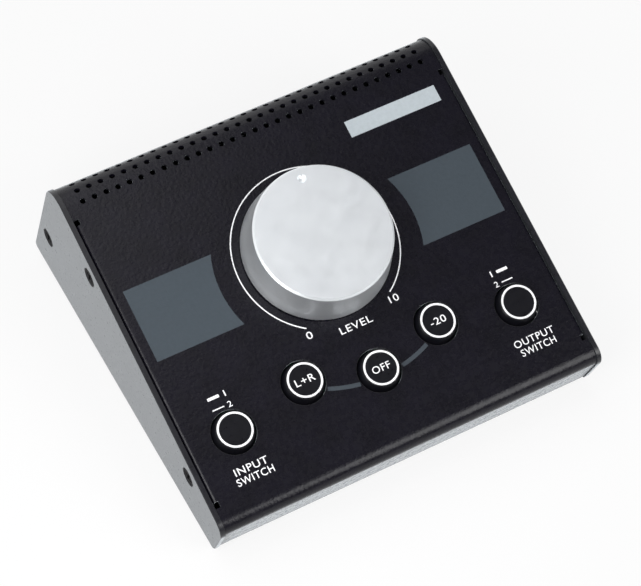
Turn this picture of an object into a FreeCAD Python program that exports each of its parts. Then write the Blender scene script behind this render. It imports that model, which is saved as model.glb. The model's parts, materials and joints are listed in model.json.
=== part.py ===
import FreeCAD, Part
import os
import re
import Sketcher

# Studio monitor controller: a folded steel desk case with a sloping control panel, a large volume
# knob, five push buttons and eight quarter-inch jacks on the rear face.
#
# Most pieces are drawn in the panel's own frame: x to the right, y up the slope towards the rear,
# z out of the panel, with its zero on the panel's outer surface under the middle of the knob.
# Pieces that follow the underside are drawn level instead. A body's Placement stands it on the desk.

doc = FreeCAD.newDocument("monitor_controller")

# ---------------------------------------------------------------- driving dimensions (mm, degrees)

DIMENSIONS = {
    # case
    "case_width": 150.0,       # over both side plates
    "tilt": 17.1,              # slope of the panel above the desk
    "front_reach": 77.3,       # knob axis to the front face, along the panel
    "rear_reach": 57.6,        # knob axis to the rear face, along the panel
    "front_drop": 23.0,        # panel to underside at the front face, square to the panel
    "sheet": 1.2,              # cover and base sheet
    "front_bend": 4.4,         # outer radius between front face and panel
    "rear_bend": 10.2,         # outer radius between panel and rear face
    "foot_bend": 1.7,          # outer radius at the bottom lips
    "lip": 9.0,                # depth of the bottom lips
    "plate": 1.8,              # side plates
    "plate_gap": 0.15,         # between cover and side plate
    "plate_proud": 0.5,        # side plates stand this much outside the cover
    "plate_corner": 2.0,       # rounding of the plates' lower corners
    "plate_edge": 0.3,         # broken outer edges
    "base_inset": 0.3,         # base plate inside the front face
    "base_inset_rear": 1.4,    # and inside the rear face
    # side flanges, folded down between two bend reliefs
    "flange": 12.5,            # depth below the panel
    "flange_bend": 1.8,
    "flange_front": 66.5,      # knob axis to the flange's front end
    "flange_rear": 39.9,       # knob axis to the flange's rear end
    "relief": 2.2,             # width of a bend relief
    "relief_depth": 2.1,
    "rear_flange": 12.0,       # depth ahead of the rear face
    "rear_flange_low": 6.0,    # its lower end above the underside
    # ventilation grid, wrapped round the rear bend
    "vent": 2.2,
    "vent_pitch": 4.45,
    "vent_count": 31,
    "vent_rows": 4,
    "vent_start": 0.5,         # the cut starts this far outside the sheet
    # fasteners
    "tight_play": 0.1,         # over the diameter, in tapped holes and on bushes
    "free_play": 0.3,          # over the diameter, in clearance holes
    "jack_play": 0.4,
    "side_screw": 4.0,
    "side_head": 7.2,
    "side_sink": 0.15,         # heads below the plates' faces
    "side_thread": 7.0,        # shanks beyond the plates
    "side_drive": 1.0,         # depth of the cross recess
    "side_upper_drop": 7.4,
    "side_front": 53.7,
    "side_middle": 23.5,
    "side_rear": 51.0,
    "side_lower_drop": 38.6,
    "base_screw": 3.0,
    "base_seat": 1.0,          # depth of the countersinks
    "base_sink": 0.1,
    "base_long": 6.0,
    "base_drive": 0.8,
    "base_screw_x": 56.0,
    "base_screw_in": 5.6,
    "foot": 13.0,
    "foot_high": 2.0,
    "foot_draft": 20.0,        # degrees
    "foot_x": 62.0,
    "foot_in": 17.0,
    # volume control
    "knob_top": 49.3,
    "knob_base": 53.5,
    "knob_high": 16.1,         # top face above the panel
    "knob_gap": 0.9,           # skirt above the panel
    "knob_edge": 0.7,
    "knob_skin": 2.4,
    "knob_bore": 45.4,
    "dimple": 3.2,
    "dimple_deep": 0.8,
    "dimple_out": 20.4,
    "dimple_turn": 4.8,        # degrees clockwise from the middle of the travel, at rest
    "hub": 11.0,
    "hub_low": 6.2,
    "hub_ring": 2.0,
    "hub_ring_high": 3.5,
    "hub_web": 1.8,
    "hub_ribs": 6,
    "hub_rib": 1.4,
    "hub_bite": 0.3,           # ribs run this far into the hub and the ring
    "hub_play": 0.05,          # glue line between ring and knob
    "shaft": 6.0,
    "shaft_top": 12.2,
    "shaft_foot": 2.0,         # above the board
    "shaft_flat": 5.5,
    "pot": 24.0,
    "pot_corner": 2.5,
    "pot_floor": 1.5,
    "pot_bush": 9.0,
    "pot_bush_high": 5.2,
    "pot_nut": 12.0,
    "pot_nut_thick": 2.2,
    "washer": 15.0,
    "washer_thick": 0.6,
    "running": 0.04,           # radial play of the shaft in its bush
    # push buttons
    "outer_x": 55.6,
    "outer_y": 47.4,
    "inner_x": 26.1,
    "inner_y": 41.7,
    "centre_y": 48.6,
    "cap_hole": 16.0,
    "cap_base": 15.4,          # at the bottom of the skirt
    "cap_top": 13.6,
    "cap_high": 3.1,
    "cap_skirt": 1.9,
    "cap_wall": 1.3,
    "cap_edge": 0.4,
    "cap_hub": 5.0,
    "cap_hub_low": 4.0,
    "cap_socket": 3.0,
    "plunger": 3.2,
    "plunger_play": 0.1,
    "plunger_low": 2.0,        # inside the switch at rest
    "switch": 9.6,
    "switch_high": 6.8,
    "switch_floor": 1.0,
    # circuit boards
    "board_drop": 14.0,        # component side below the panel
    "board": 1.6,
    "board_half": 64.0,
    "board_front": 66.0,
    "board_rear": 18.0,
    "post_x": 60.0,
    "post_front": 62.0,
    "post_rear": 13.0,
    "post": 5.0,
    "post_screw": 2.5,
    "post_tap": 8.0,
    "post_thread": 6.0,
    "post_head": 5.0,
    "post_head_high": 1.8,
    "post_head_draft": 20.0,
    "resistor": 2.3,
    "resistor_long": 6.3,
    "resistor_count": 6,
    "resistor_x": 6.0,
    "resistor_pitch": 3.4,
    "resistor_front": 30.0,
    "header_wide": 26.0,
    "header_thick": 6.0,
    "header_high": 6.4,
    "header_v": 13.0,
    "ribbon": 0.9,
    "ribbon_wide": 22.0,
    "ribbon_bend": 4.5,
    "jack_header_drop": 36.0,
    # jacks on the rear face
    "jack_inner": 22.3,
    "jack_outer": 44.5,
    "jack_upper": 27.6,
    "jack_lower": 44.6,
    "jack_wide": 16.0,
    "jack_high": 14.0,
    "jack_board_side": 12.0,   # board beyond the outer jacks' axes
    "jack_board_top": 8.0,
    "jack_board_low": 6.2,
    "jack_deep": 27.0,         # housing behind the rear face
    "jack_bore": 6.5,
    "jack_reach": 31.4,        # bore from the mouth of the bush
    "bush": 9.5,
    "bush_out": 4.2,
    "bush_edge": 0.8,
    "jack_nut": 14.0,
    "jack_nut_thick": 2.0,
}

sheet = doc.addObject("Spreadsheet::Sheet", "Dims")
for row, (alias, number) in enumerate(DIMENSIONS.items(), 1):
    sheet.set(f"A{row}", alias)
    sheet.set(f"B{row}", str(number))
    sheet.setAlias(f"B{row}", alias)
doc.recompute()

TINY = 1e-3

# flats round the small outlines that repeat, few enough to keep every piece light
VENT_FLATS = 10
SCREW_FLATS = 12
BUSH_FLATS = 16

ALIAS = re.compile(r"\b(" + "|".join(sorted(DIMENSIONS, key=len, reverse=True)) + r")\b")


def bound(formula):
    """The formula as an expression on the sheet's cells."""
    return ALIAS.sub(r"Dims.\1", formula)


def value(formula):
    """The formula's present value."""
    result = doc.Dims.evalExpression(bound(formula))
    return float(getattr(result, "Value", result))


# ---------------------------------------------------------------- derived lines of the case

COVER_HALF = "(case_width / 2 - plate - plate_gap)"
PLATE_INNER = "(case_width / 2 - plate)"


def underside(reach):
    """Height of the case's underside in the panel frame, at a distance up the slope."""
    return f"(-front_drop - ({reach} + front_reach) * tan(tilt))"


def cover_foot(reach):
    """The same for the cover, which stands on the base plate, and for the side plates beside it."""
    return f"({underside(reach)} + sheet / cos(tilt))"


REAR_DROP = "(front_drop + (front_reach + rear_reach) * tan(tilt))"
LEVEL_FRONT = "(-front_reach * cos(tilt) + front_drop * sin(tilt))"
LEVEL_REAR = f"(rear_reach * cos(tilt) + {REAR_DROP} * sin(tilt))"

PANEL_HIGH = "(front_reach * sin(tilt) + front_drop * cos(tilt))"
PLATE_REAR = "(rear_reach + plate_proud)"

# foremost and rearmost points, on the side plates' rounded corners: the two set the middle of
# the part's box
FOREMOST = ("((front_bend - front_reach) * cos(tilt) + front_bend * sin(tilt)"
            " - front_bend - plate_proud)")
REARMOST = (f"(({PLATE_REAR} - plate_corner) / cos(tilt)"
            f" + ({PANEL_HIGH} - sheet - plate_corner) * tan(tilt) + plate_corner)")
ORIGIN_Y = f"(-({FOREMOST} + {REARMOST}) / 2)"
ORIGIN_Z = f"(foot_high + {PANEL_HIGH})"

BUTTONS = {
    "source": ("-outer_x", "-outer_y"),
    "mono": ("-inner_x", "-inner_y"),
    "mute": ("0", "-centre_y"),
    "dim": ("inner_x", "-inner_y"),
    "monitor": ("outer_x", "-outer_y"),
}
JACKS = {
    "input_1_left": ("-jack_outer", "-jack_upper"),
    "input_1_right": ("-jack_outer", "-jack_lower"),
    "input_2_left": ("-jack_inner", "-jack_upper"),
    "input_2_right": ("-jack_inner", "-jack_lower"),
    "output_1_left": ("jack_inner", "-jack_upper"),
    "output_1_right": ("jack_inner", "-jack_lower"),
    "output_2_left": ("jack_outer", "-jack_upper"),
    "output_2_right": ("jack_outer", "-jack_lower"),
}
SIDE_SCREWS = [
    ("-side_front", "-side_upper_drop"),
    ("side_middle", "-side_upper_drop"),
    ("side_rear", "-side_lower_drop"),
]
POSTS = [(x, y) for x in ("-post_x", "post_x") for y in ("-post_front", "post_rear")]
BASE_SCREWS = [
    (x, y)
    for x in ("-base_screw_x", "base_screw_x")
    for y in (f"({LEVEL_FRONT} + base_screw_in)", f"({LEVEL_REAR} - base_screw_in)")
]
FEET = [
    (x, y)
    for x in ("-foot_x", "foot_x")
    for y in (f"({LEVEL_FRONT} + foot_in)", f"({LEVEL_REAR} - foot_in)")
]


# ---------------------------------------------------------------- bodies, sketches and features

def panel_body(label, x="0", y="0", z="0"):
    """A body drawn in the panel's frame, with its zero at (x, y, z) of that frame."""
    body = doc.addObject("PartDesign::Body", label)
    body.Label = label
    body.Placement = FreeCAD.Placement(
        FreeCAD.Vector(), FreeCAD.Rotation(FreeCAD.Vector(1, 0, 0), value("tilt")))
    body.setExpression("Placement.Rotation.Angle", bound("tilt"))
    body.setExpression("Placement.Base.x", bound(x))
    body.setExpression("Placement.Base.y", bound(f"{ORIGIN_Y} + ({y}) * cos(tilt) - ({z}) * sin(tilt)"))
    body.setExpression("Placement.Base.z", bound(f"{ORIGIN_Z} + ({y}) * sin(tilt) + ({z}) * cos(tilt)"))
    return body


def level_body(label):
    """A body drawn level, with its zero on the case's underside."""
    body = doc.addObject("PartDesign::Body", label)
    body.Label = label
    body.setExpression("Placement.Base.y", bound(ORIGIN_Y))
    body.setExpression("Placement.Base.z", bound("foot_high"))
    return body


def sketch_on(body, plane, name, lift="0"):
    """A sketch on one of the body's own origin planes, lifted along the plane's normal."""
    sketch = body.newObject("Sketcher::SketchObject", f"{body.Label}_{name}")
    support = next(o for o in body.Origin.OriginFeatures if o.Role == plane)
    sketch.AttachmentSupport = [(support, "")]
    sketch.MapMode = "FlatFace"
    if lift != "0":
        sketch.setExpression("AttachmentOffset.Base.z", bound(lift))
    return sketch


def fix(sketch, dimensions):
    """Dimensions of the sketch, each given as (kind, formula, geometry), bound to the sheet."""
    first = sketch.ConstraintCount
    sketch.addConstraint([
        Sketcher.Constraint(kind, *where, value(formula)) for kind, formula, *where in dimensions])
    for index, (_, formula, *_) in enumerate(dimensions, first):
        sketch.setExpression(f"Constraints[{index}]", bound(formula))


def add_polygon(sketch, corners):
    """A closed outline through corners given as pairs of formulas."""
    points = [FreeCAD.Vector(value(a), value(b), 0) for a, b in corners]
    first = sketch.GeometryCount
    count = len(points)
    sketch.addGeometry(
        [Part.LineSegment(start, points[(i + 1) % count]) for i, start in enumerate(points)], False)
    sketch.addConstraint([
        Sketcher.Constraint("Coincident", first + i, 2, first + (i + 1) % count, 1)
        for i in range(count)])
    fix(sketch, [
        (kind, formula, -1, 1, first + i, 1)
        for i, corner in enumerate(corners)
        for kind, formula in zip(("DistanceX", "DistanceY"), corner)])


def add_rectangle(sketch, left, right, low, high):
    add_polygon(sketch, [(left, low), (right, low), (right, high), (left, high)])


def add_circle(sketch, across, x="0", y="0"):
    centre = FreeCAD.Vector(value(x), value(y), 0)
    circle = sketch.addGeometry(
        Part.Circle(centre, FreeCAD.Vector(0, 0, 1), value(across) / 2), False)
    fix(sketch, [
        ("DistanceX", x, -1, 1, circle, 3), ("DistanceY", y, -1, 1, circle, 3),
        ("Diameter", across, circle)])


def add_round(sketch, flats, across, x="0", y="0"):
    """A small round outline made of flats, with its corners on the circle."""
    corners = []
    for index in range(flats):
        angle = f"({index} * 360 / {flats})"
        corners.append((f"{x} + ({across}) / 2 * cos({angle})", f"{y} + ({across}) / 2 * sin({angle})"))
    add_polygon(sketch, corners)


def add_hexagon(sketch, flats, x="0", y="0"):
    """A hexagon with two of its flats square to the sketch's y axis."""
    corner = f"({flats}) / sqrt(3)"
    half = f"({flats}) / 2"
    steps = [(corner, "0"), (f"{corner} / 2", half), (f"-{corner} / 2", half),
             (f"-{corner}", "0"), (f"-{corner} / 2", f"-{half}"), (f"{corner} / 2", f"-{half}")]
    add_polygon(sketch, [(f"{x} + {dx}", f"{y} + {dy}") for dx, dy in steps])


def add_cross(sketch, length, x="0", y="0"):
    """The outline of a cross recess."""
    arm = f"({length}) / 2"
    slot = f"({length}) / 8"
    steps = [(arm, f"-{slot}"), (arm, slot), (slot, slot), (slot, arm), (f"-{slot}", arm),
             (f"-{slot}", slot), (f"-{arm}", slot), (f"-{arm}", f"-{slot}"),
             (f"-{slot}", f"-{slot}"), (f"-{slot}", f"-{arm}"), (slot, f"-{arm}"),
             (slot, f"-{slot}")]
    add_polygon(sketch, [(f"{x} + {dx}", f"{y} + {dy}") for dx, dy in steps])


def volume(body):
    return 0.0 if body.Shape.isNull() else body.Shape.Volume


def extrude(body, kind, sketch, length, both_ways=False, reverse=False, taper="0"):
    """A Pad or Pocket of the sketch; a pocket has to take material away."""
    before = volume(body)
    feature = body.newObject(f"PartDesign::{kind}", f"{sketch.Name}_{kind.lower()}")
    feature.Profile = sketch
    feature.SideType = "Symmetric" if both_ways else "One side"
    feature.setExpression("Length", bound(length))
    feature.Reversed = reverse
    if taper != "0":
        feature.setExpression("TaperAngle", bound(taper))
    sketch.Visibility = False
    doc.recompute()
    change = volume(body) - before
    if (change > 0) != (kind == "Pad") or abs(change) < TINY:
        raise RuntimeError(f"{feature.Name} changes nothing or points the wrong way")
    return feature


def pad(body, sketch, length, **options):
    return extrude(body, "Pad", sketch, length, **options)


def pocket(body, sketch, length, **options):
    return extrude(body, "Pocket", sketch, length, **options)


def revolve(body, corners, name="profile"):
    """A full turn about z of an outline given as (radius, height) formulas."""
    sketch = sketch_on(body, "XZ_Plane", name)
    add_polygon(sketch, corners)
    feature = body.newObject("PartDesign::Revolution", f"{body.Label}_{name}_turned")
    feature.Profile = sketch
    feature.ReferenceAxis = (sketch, ["V_Axis"])
    feature.Angle = 360
    doc.recompute()
    return feature


def edges(feature, test):
    """Names of the edges whose bounding box passes the test."""
    return [f"Edge{i}" for i, edge in enumerate(feature.Shape.Edges, 1) if test(edge.BoundBox)]


def near(number, target):
    return abs(number - target) < TINY


def dress(body, kind, feature, names, size):
    """A Fillet or Chamfer of the named edges."""
    dressing = body.newObject(f"PartDesign::{kind}", f"{feature.Name}_{kind.lower()}")
    dressing.Base = (feature, names)
    dressing.setExpression("Radius" if kind == "Fillet" else "Size", bound(size))
    doc.recompute()
    return dressing


def countersink(body, name, plane, lift, places, across, deep, **options):
    """Seats for screw heads, narrowing at 45 degrees to holes of the given width."""
    rims = sketch_on(body, plane, name, lift=lift)
    for a, b in places:
        add_circle(rims, f"{across} + 2 * {deep}", a, b)
    return pocket(body, rims, deep, taper="-45", **options)


def cross_edges(feature, y, z):
    """Edges parallel to x through (y, z)."""
    y, z = value(y), value(z)
    return edges(feature, lambda b: b.XLength > TINY and all(
        near(a, c) for a, c in ((b.YMin, y), (b.YMax, y), (b.ZMin, z), (b.ZMax, z))))


# ---------------------------------------------------------------- case

def make_top_cover():
    """Folded cover: front face, panel, rear bend and rear face in one sheet, with side flanges."""
    body = panel_body("top_cover")
    half = value(COVER_HALF)
    width = f"2 * {COVER_HALF}"

    outline = sketch_on(body, "YZ_Plane", "outline")
    add_polygon(outline, [
        ("-front_reach", "0"), ("rear_reach", "0"),
        ("rear_reach", cover_foot("rear_reach")), ("-front_reach", cover_foot("-front_reach")),
    ])
    wedge = pad(body, outline, width, both_ways=True)
    front = dress(body, "Fillet", wedge, cross_edges(wedge, "-front_reach", "0"), "front_bend")
    rear = dress(body, "Fillet", front, cross_edges(front, "rear_reach", "0"), "rear_bend")
    feet = (cross_edges(rear, "-front_reach", cover_foot("-front_reach"))
            + cross_edges(rear, "rear_reach", cover_foot("rear_reach")))
    bent = dress(body, "Fillet", rear, feet, "foot_bend")

    shell = body.newObject("PartDesign::Thickness", "top_cover_shell")
    ends = [f"Face{i}" for i, face in enumerate(bent.Shape.Faces, 1) if face.BoundBox.XLength < TINY]
    shell.Base = (bent, ends)
    shell.setExpression("Value", bound("sheet"))
    shell.Reversed = True
    doc.recompute()

    # the open underside leaves a lip along the front and the rear
    open_front = "(-front_reach + lip * cos(tilt))"
    open_rear = "(rear_reach - lip * cos(tilt))"
    window = sketch_on(body, "YZ_Plane", "window")
    add_polygon(window, [
        (open_front, f"{underside(open_front)} - sheet"), (open_rear, f"{underside(open_rear)} - sheet"),
        (open_rear, f"{underside(open_rear)} + 4 * sheet"),
        (open_front, f"{underside(open_front)} + 4 * sheet"),
    ])
    pocket(body, window, "case_width", both_ways=True)

    # long edges folded down between the bend reliefs, and the rear face's edges folded forwards
    rear_top = "(-rear_bend - relief - sheet)"
    rear_low = f"(-{REAR_DROP} + rear_flange_low)"
    folds = [
        ("panel", "-flange_front", "flange_rear", "-flange", "-sheet"),
        ("rear", "rear_reach - rear_flange", "rear_reach - sheet", rear_low, rear_top),
    ]
    for name, back, forth, low, high in folds:
        block = sketch_on(body, "YZ_Plane", f"{name}_flange")
        add_rectangle(block, back, forth, low, high)
        pad(body, block, width, both_ways=True)
        inside = sketch_on(body, "YZ_Plane", f"{name}_flange_inside")
        add_rectangle(inside, back, forth, low, high)
        pocket(body, inside, f"{width} - 2 * sheet", both_ways=True)

    reliefs = sketch_on(body, "XY_Plane", "panel_reliefs")
    rear_reliefs = sketch_on(body, "XZ_Plane", "rear_reliefs", lift="-rear_reach")
    for side in ("", "-"):
        inner = f"{side}({COVER_HALF} - relief_depth)"
        outer = f"{side}({COVER_HALF} + sheet)"
        add_rectangle(reliefs, inner, outer, "-flange_front - relief", "-flange_front")
        add_rectangle(reliefs, inner, outer, "flange_rear", "flange_rear + relief")
        add_rectangle(rear_reliefs, inner, outer, rear_top, f"{rear_top} + relief")
        add_rectangle(rear_reliefs, inner, outer, f"{rear_low} - relief", rear_low)
    pocket(body, reliefs, "2 * sheet")
    cut = pocket(body, rear_reliefs, "2 * sheet", reverse=True)

    span = value("flange_front + flange_rear")
    rear_span = value(f"{rear_top} - {rear_low}")
    rear_face = value("rear_reach")
    folded = edges(cut, lambda b: near(abs(b.XMin), half) and b.XLength < TINY and (
        (near(b.ZMin, 0) and near(b.ZMax, 0) and near(b.YLength, span))
        or (near(b.YMin, rear_face) and near(b.YMax, rear_face) and near(b.ZLength, rear_span))))
    dress(body, "Fillet", cut, folded, "flange_bend")

    holes = sketch_on(body, "XY_Plane", "panel_holes")
    add_circle(holes, "pot_bush + free_play")
    for x, y in BUTTONS.values():
        add_circle(holes, "cap_hole", x, y)
    pocket(body, holes, "2 * sheet")

    rear_holes = sketch_on(body, "XZ_Plane", "jack_holes", lift="-rear_reach")
    for x, z in JACKS.values():
        add_circle(rear_holes, "bush + jack_play", x, z)
    pocket(body, rear_holes, "2 * sheet", reverse=True)

    side_holes = sketch_on(body, "YZ_Plane", "side_holes")
    for y, z in SIDE_SCREWS:
        add_round(side_holes, SCREW_FLATS, "side_screw + tight_play", y, z)
    pocket(body, side_holes, "case_width", both_ways=True)

    lip_holes = sketch_on(body, "XY_Plane", "lip_holes")
    lip_holes.AttachmentOffset = FreeCAD.Placement(
        FreeCAD.Vector(), FreeCAD.Rotation(FreeCAD.Vector(-1, 0, 0), value("tilt")))
    lip_holes.setExpression("AttachmentOffset.Rotation.Angle", bound("tilt"))
    lip_holes.setExpression("AttachmentOffset.Base.y", bound(f"-{PANEL_HIGH} * sin(tilt)"))
    lip_holes.setExpression("AttachmentOffset.Base.z", bound(f"-{PANEL_HIGH} * cos(tilt)"))
    for x, y in BASE_SCREWS:
        add_round(lip_holes, SCREW_FLATS, "base_screw + tight_play", x, y)
    pocket(body, lip_holes, "4 * sheet", reverse=True)

    make_vents(body)


def make_vents(body):
    """Rows of round holes: the first on the flat panel, the others square to the rear bend."""
    out = "(rear_bend + vent_start)"
    rows = []
    for row in range(DIMENSIONS["vent_rows"]):
        angle = f"({row} * vent_pitch / (rear_bend - sheet / 2) * 180 / pi)"
        sketch = sketch_on(body, "XY_Plane", f"vent_{row + 1}")
        sketch.AttachmentOffset = FreeCAD.Placement(
            FreeCAD.Vector(), FreeCAD.Rotation(FreeCAD.Vector(-1, 0, 0), value(angle) + TINY))
        sketch.setExpression("AttachmentOffset.Rotation.Angle", bound(angle))
        sketch.setExpression(
            "AttachmentOffset.Base.y", bound(f"rear_reach - rear_bend + {out} * sin({angle})"))
        sketch.setExpression("AttachmentOffset.Base.z", bound(f"-rear_bend + {out} * cos({angle})"))
        add_round(sketch, VENT_FLATS, "vent", "-vent_pitch * (vent_count - 1) / 2")
        rows.append(pocket(body, sketch, "vent_start + 2 * sheet"))
    pattern = body.newObject("PartDesign::LinearPattern", "vent_rows")
    pattern.Originals = rows
    pattern.Direction = (rows[0].Profile[0], ["H_Axis"])
    pattern.setExpression("Length", bound("vent_pitch * (vent_count - 1)"))
    pattern.setExpression("Occurrences", bound("vent_count"))
    pattern.Refine = False
    body.Tip = pattern
    doc.recompute()


def make_side_plate(label, side):
    """Flat cheek, cut to the cover's profile and a little proud of it."""
    body = panel_body(label)
    front = "(-front_reach - plate_proud)"
    lift = f"-{PLATE_INNER} - plate" if side < 0 else PLATE_INNER
    outline = sketch_on(body, "YZ_Plane", "outline", lift=lift)
    add_polygon(outline, [
        (front, "plate_proud"), (PLATE_REAR, "plate_proud"),
        (PLATE_REAR, cover_foot(PLATE_REAR)), (front, cover_foot(front)),
    ])
    blank = pad(body, outline, "plate")
    fronted = dress(body, "Fillet", blank, cross_edges(blank, front, "plate_proud"),
                    "front_bend + plate_proud")
    reared = dress(body, "Fillet", fronted, cross_edges(fronted, PLATE_REAR, "plate_proud"),
                   "rear_bend + plate_proud")
    corners = (cross_edges(reared, front, cover_foot(front))
               + cross_edges(reared, PLATE_REAR, cover_foot(PLATE_REAR)))
    rounded = dress(body, "Fillet", reared, corners, "plate_corner")
    outer = side * value("case_width / 2")
    rim = edges(rounded, lambda b: near(b.XMin, outer) and near(b.XMax, outer))
    dress(body, "Chamfer", rounded, rim, "plate_edge")
    holes = sketch_on(body, "YZ_Plane", "holes", lift=lift)
    hole = "(side_screw + free_play)"
    for y, z in SIDE_SCREWS:
        add_circle(holes, hole, y, z)
    pocket(body, holes, "plate", reverse=True)
    face = "-case_width / 2" if side < 0 else "case_width / 2"
    countersink(body, "seats", "YZ_Plane", face, SIDE_SCREWS, hole, "(side_head - side_screw) / 2",
                reverse=side < 0)


def make_base_plate():
    """Flat sheet under the cover's two lips and between the side plates."""
    body = level_body("base_plate")
    outline = sketch_on(body, "XY_Plane", "outline")
    add_rectangle(outline, f"-{COVER_HALF}", COVER_HALF,
                  f"{LEVEL_FRONT} + base_inset", f"{LEVEL_REAR} - base_inset_rear")
    pad(body, outline, "sheet")
    holes = sketch_on(body, "XY_Plane", "holes")
    hole = "(base_screw + free_play)"
    for x, y in BASE_SCREWS:
        add_circle(holes, hole, x, y)
    pocket(body, holes, "sheet", reverse=True)
    countersink(body, "seats", "XY_Plane", "0", BASE_SCREWS, hole, "base_seat", reverse=True)


def make_side_screws(label, side):
    """Countersunk cross-head screws, a hair below the side plate's surface."""
    body = panel_body(label)
    face = "(case_width / 2 - side_sink)"
    cone = "((side_head - side_screw) / 2 - tight_play)"
    lift = face if side > 0 else f"-{face}"
    inwards = {"reverse": side > 0}
    heads = sketch_on(body, "YZ_Plane", "heads", lift=lift)
    shanks = sketch_on(body, "YZ_Plane", "shanks", lift=lift)
    drives = sketch_on(body, "YZ_Plane", "drives", lift=lift)
    for y, z in SIDE_SCREWS:
        add_circle(heads, f"side_screw + 2 * {cone}", y, z)
        add_round(shanks, SCREW_FLATS, "side_screw", y, z)
        add_cross(drives, "side_screw", y, z)
    pad(body, heads, cone, taper="-45", **inwards)
    pad(body, shanks, "plate + side_thread", **inwards)
    pocket(body, drives, "side_drive", reverse=side < 0)


def make_base_screws():
    body = level_body("base_screws")
    cone = "(base_seat - tight_play)"
    heads = sketch_on(body, "XY_Plane", "heads", lift="base_sink")
    shanks = sketch_on(body, "XY_Plane", "shanks", lift="base_sink")
    drives = sketch_on(body, "XY_Plane", "drives", lift="base_sink")
    for x, y in BASE_SCREWS:
        add_circle(heads, f"base_screw + 2 * {cone}", x, y)
        add_round(shanks, SCREW_FLATS, "base_screw", x, y)
        add_cross(drives, "base_screw", x, y)
    pad(body, heads, cone, taper="-45")
    pad(body, shanks, "base_long")
    pocket(body, drives, "base_drive", reverse=True)


def make_feet():
    body = level_body("rubber_feet")
    pads = sketch_on(body, "XY_Plane", "pads")
    for x, y in FEET:
        add_circle(pads, "foot", x, y)
    pad(body, pads, "foot_high", reverse=True, taper="-foot_draft")


# ---------------------------------------------------------------- volume control

CAP_UNDER = "(knob_high - knob_skin)"


def make_knob():
    """Turned shell with a slight taper, a bright top edge and an index dimple."""
    body = panel_body("volume_knob")
    turned = revolve(body, [
        ("0", CAP_UNDER), ("knob_bore / 2", CAP_UNDER), ("knob_bore / 2", "knob_gap"),
        ("knob_base / 2", "knob_gap"), ("knob_top / 2", "knob_high - knob_edge"),
        ("knob_top / 2 - knob_edge", "knob_high"), ("0", "knob_high"),
    ])
    ball = body.newObject("PartDesign::SubtractiveSphere", "index_dimple")
    support = next(o for o in body.Origin.OriginFeatures if o.Role == "XY_Plane")
    ball.AttachmentSupport = [(support, "")]
    ball.MapMode = "FlatFace"
    radius = "((dimple * dimple / 4 + dimple_deep * dimple_deep) / (2 * dimple_deep))"
    ball.setExpression("Radius", bound(radius))
    ball.setExpression("AttachmentOffset.Base.x", bound("dimple_out * sin(dimple_turn)"))
    ball.setExpression("AttachmentOffset.Base.y", bound("dimple_out * cos(dimple_turn)"))
    ball.setExpression("AttachmentOffset.Base.z", bound(f"knob_high - dimple_deep + {radius}"))
    body.Tip = ball
    doc.recompute()
    if ball.Shape.Volume >= turned.Shape.Volume:
        raise RuntimeError("the index dimple cuts nothing")


def make_knob_hub():
    """Moulded insert: a ring pressed in the knob, a web, six ribs and the hub for the shaft."""
    body = panel_body("knob_hub")
    web = f"({CAP_UNDER} - hub_web)"
    ring_low = f"({web} - hub_ring_high)"
    ring_out = "(knob_bore / 2 - hub_play)"
    ring_in = "(knob_bore / 2 - hub_ring)"
    revolve(body, [
        ("shaft / 2", "hub_low"), ("hub / 2", "hub_low"), ("hub / 2", web), (ring_in, web),
        (ring_in, ring_low), (ring_out, ring_low), (ring_out, CAP_UNDER),
        ("0", CAP_UNDER), ("0", "shaft_top"), ("shaft / 2", "shaft_top"),
    ])
    rib = sketch_on(body, "XZ_Plane", "rib")
    add_polygon(rib, [
        ("hub / 2 - hub_bite", web), ("hub / 2 - hub_bite", "hub_low + hub_rib"),
        (f"{ring_in} + hub_bite", ring_low), (f"{ring_in} + hub_bite", web),
    ])
    first = pad(body, rib, "hub_rib", both_ways=True)
    ribs = body.newObject("PartDesign::PolarPattern", "hub_rib_ring")
    ribs.Originals = [first]
    ribs.Axis = (next(o for o in body.Origin.OriginFeatures if o.Role == "Z_Axis"), [""])
    ribs.Angle = 360
    ribs.setExpression("Occurrences", bound("hub_ribs"))
    body.Tip = ribs
    doc.recompute()


def make_pot():
    """Potentiometer: a square housing on the board, a threaded bush through the panel, a shaft."""
    low = "-board_drop"
    housing = panel_body("pot_body")
    outline = sketch_on(housing, "XY_Plane", "outline", lift=low)
    add_rectangle(outline, "-pot / 2", "pot / 2", "-pot / 2", "pot / 2")
    block = pad(housing, outline, "board_drop - sheet")
    uprights = edges(block, lambda b: b.ZLength > TINY)
    dress(housing, "Chamfer", block, uprights, "pot_corner")
    bush = sketch_on(housing, "XY_Plane", "bush", lift="-sheet")
    add_circle(bush, "pot_bush")
    pad(housing, bush, "sheet + pot_bush_high")
    bore = sketch_on(housing, "XY_Plane", "bore", lift="pot_bush_high")
    add_circle(bore, "shaft + 2 * running")
    pocket(housing, bore, "pot_bush_high + board_drop - pot_floor")

    shaft = panel_body("pot_shaft")
    rod = sketch_on(shaft, "XY_Plane", "rod", lift="-board_drop + shaft_foot")
    add_circle(rod, "shaft")
    pad(shaft, rod, "board_drop - shaft_foot + shaft_top")
    flat = sketch_on(shaft, "XY_Plane", "flat", lift="shaft_top")
    add_rectangle(flat, "shaft / 4", "shaft", "-shaft", "shaft")
    pocket(shaft, flat, "shaft_flat")

    washer = panel_body("pot_washer")
    ring = sketch_on(washer, "XY_Plane", "ring")
    add_circle(ring, "washer")
    add_circle(ring, "pot_bush + tight_play")
    pad(washer, ring, "washer_thick")

    nut = panel_body("pot_nut")
    flats = sketch_on(nut, "XY_Plane", "flats", lift="washer_thick")
    add_hexagon(flats, "pot_nut")
    add_circle(flats, "pot_bush + tight_play")
    pad(nut, flats, "pot_nut_thick")


# ---------------------------------------------------------------- push buttons

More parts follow.
